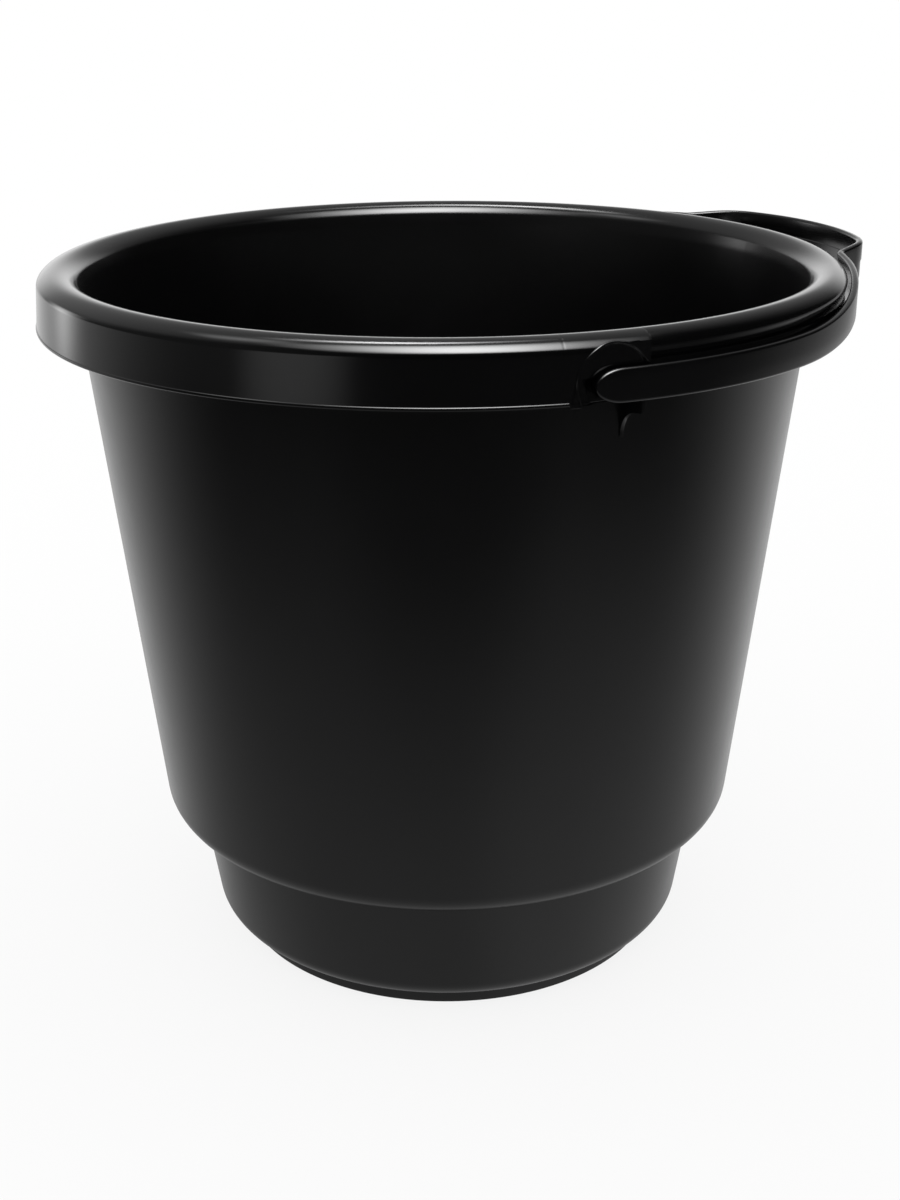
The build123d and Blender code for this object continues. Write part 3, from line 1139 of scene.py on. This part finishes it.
def add_camera():
    """A camera at the photograph's viewing angle."""
    data = bpy.data.cameras.new("camera")
    data.lens = CAMERA_LENS
    camera = bpy.data.objects.new("camera", data)
    heading = Matrix.Rotation(VIEW_HEADING - CAMERA_YAW, 4, "Z")
    pitch = Matrix.Rotation(pi / 2 - CAMERA_PITCH, 4, "X")
    roll = Matrix.Rotation(CAMERA_ROLL, 4, "Z")
    place = ALONG_Z * CAMERA_HEIGHT - VIEW_AHEAD * CAMERA_DISTANCE
    camera.matrix_world = Matrix.Translation(place) @ heading @ pitch @ roll
    bpy.context.scene.collection.objects.link(camera)
    bpy.context.scene.camera = camera


def add_softbox(name, right, ahead, up, width, height, power):
    """A lamp that faces the bucket, brightest in its middle. It shows in reflections only."""
    data = bpy.data.lights.new(name, "AREA")
    data.shape = "RECTANGLE"
    data.size = width
    data.size_y = height
    data.energy = power
    tree = empty_tree(data)
    spot = tree.node("ShaderNodeNewGeometry", out="Parametric")
    sideways, upright = [4 * part * (1 - part) for part in (part_of(spot, "X"), part_of(spot, "Y"))]
    square = sideways * sideways
    strength = sideways * upright * (EVEN_SHARE + (1 - EVEN_SHARE) * square * square)
    glow = tree.node("ShaderNodeEmission", {}, {"Strength": strength})
    tree.node("ShaderNodeOutputLight", {}, {"Surface": glow})
    lamp = bpy.data.objects.new(name, data)
    place = VIEW_RIGHT * right + VIEW_AHEAD * ahead + ALONG_Z * up
    lamp.location = place
    lamp.rotation_euler = (LAMP_TARGET - place).to_track_quat("-Z", "Y").to_euler()
    lamp.visible_diffuse = False
    bpy.context.scene.collection.objects.link(lamp)


def painted_floor_glow(place, distance):
    """Painted glow of the floor, seen only in reflections: a painted pool of light round the foot, white
    behind the bucket, painted patches of a window and of the left side far out, else dim.
    """
    ways = (VIEW_AHEAD, VIEW_RIGHT, WINDOW)
    ahead, right, window = [toward(place, way) / (distance + MIDDLE) for way in ways]
    aside = band(right * right, *ASIDE_SPREAD)
    near = 1 - band(distance, GLOW_START, GLOW_END + GLOW_WIDER * aside)
    dim = DIM_FLOOR + near * (GLOW_LEVEL - ASIDE_LOSS * aside + RIGHT_GAIN * band(right, *RIGHT_SPREAD))
    far = WINDOW_LEVEL * band(window, *WINDOW_SPREAD) + LEFT_LEVEL * band(-1 * right, *LEFT_SPREAD)
    dim = dim + band(distance, *FAR_FLOOR) * far
    dull = DULL_LOSS * band(distance, *DULL_START) * band(right, *DULL_SPREAD)
    white = band(ahead, *WHITE_SPREAD) * (1 - dull)
    return dim + (WHITE_FLOOR - dim) * white


def floor_material(colour):
    """White floor with a soft shadow. Glossy surfaces see a painted glow of its own on it instead."""
    material = bpy.data.materials.new("studio_floor")
    tree = empty_tree(material)
    seen = tree.node("ShaderNodeLightPath", out="Is Camera Ray")
    seen = seen + tree.node("ShaderNodeLightPath", out="Is Transmission Ray")
    mirrored = tree.node("ShaderNodeLightPath", out="Is Glossy Ray")
    place = tree.node("ShaderNodeTexCoord", out="Object")
    distance = length_of(place)
    lit = tree.node("ShaderNodeBsdfDiffuse", {}, {"Color": (*colour, 1)})
    # Glossy rays see only the floor's painted glow, a painted pool of light and painted reflections, not
    # its lit colour
    strength = seen + mirrored * painted_floor_glow(place, distance)
    shown = tree.node("ShaderNodeEmission", {}, {"Strength": strength})
    own = seen * (OWN_WHITE + (1 - OWN_WHITE) * band(distance, *SHADOW_FADE)) + mirrored
    surface = tree.node("ShaderNodeMixShader", {}, {0: own, 1: lit, 2: shown})
    tree.node("ShaderNodeOutputMaterial", {}, {"Surface": surface})
    return material


def light_world():
    """White all round at the plain level. Glossy surfaces see a dim room with a low white backdrop."""
    world = bpy.data.worlds.new("studio")
    tree = empty_tree(world)
    mirrored = tree.node("ShaderNodeLightPath", out="Is Glossy Ray")
    way = tree.node("ShaderNodeTexCoord", out="Generated")
    up = part_of(way, "Z")
    backdrop = band(toward(way, VIEW_AHEAD), *BACKDROP_SPREAD) * (1 - band(up, *BACKDROP_TOP))
    haze = band(toward(way, HAZE), *HAZE_SPREAD) * HAZE_LEVEL
    window = band(toward(way, WINDOW), *WINDOW_SPREAD) * (1 - band(up, *WINDOW_TOP)) * WINDOW_LEVEL
    left = band(toward(way, -VIEW_RIGHT), *LEFT_SPREAD) * LEFT_LEVEL
    room = backdrop + haze + window + left + ROOM_LEVEL
    strength = mirrored * room + (1 - mirrored)
    glow = tree.node("ShaderNodeBackground", {}, {"Color": (1, 1, 1, 1), "Strength": strength})
    tree.node("ShaderNodeOutputWorld", {}, {"Surface": glow})
    bpy.context.scene.world = world


class BUCKET_OT_stage(Operator):
    """Set up the floor, the soft boxes and the camera"""

    bl_idname = "bucket.stage"
    bl_label = "Stage"

    def execute(self, context):
        look = context.scene.bucket.look
        bpy.ops.mesh.primitive_plane_add(size=FLOOR_SIZE)
        floor = context.object
        floor.name = "floor"
        floor.data.materials.append(floor_material(look.floor_colour))
        for box in SOFTBOXES:
            add_softbox(*box)
        light_world()
        add_camera()
        context.scene.view_settings.view_transform = "Standard"
        return {"FINISHED"}


OPERATORS = (BUCKET_OT_shell, BUCKET_OT_bail, BUCKET_OT_stage)


class BUCKET_PT_sidebar(Panel):
    """The bucket's pieces and sizes"""

    bl_idname = "BUCKET_PT_sidebar"
    bl_label = "Bucket"
    bl_space_type = "VIEW_3D"
    bl_region_type = "UI"
    bl_category = "Bucket"

    def draw(self, context):
        for operator in OPERATORS:
            self.layout.operator(operator.bl_idname)
        for group in BucketSizes.__annotations__:
            sizes = getattr(context.scene.bucket, group)
            for name in sizes.__annotations__:
                self.layout.prop(sizes, name)


GROUPS = (ShellSizes, EarSizes, BailSizes, BucketLook, BucketSizes)
CLASSES = (*GROUPS, *OPERATORS, BUCKET_PT_sidebar)


def register():
    for made in CLASSES:
        bpy.utils.register_class(made)
    bpy.types.Scene.bucket = PointerProperty(type=BucketSizes)


def unregister():
    del bpy.types.Scene.bucket
    for made in reversed(CLASSES):
        bpy.utils.unregister_class(made)


def main():
    register()
    bpy.ops.bucket.shell()
    bpy.ops.bucket.bail()
    bpy.ops.bucket.stage()


if __name__ == "__main__":
    main()
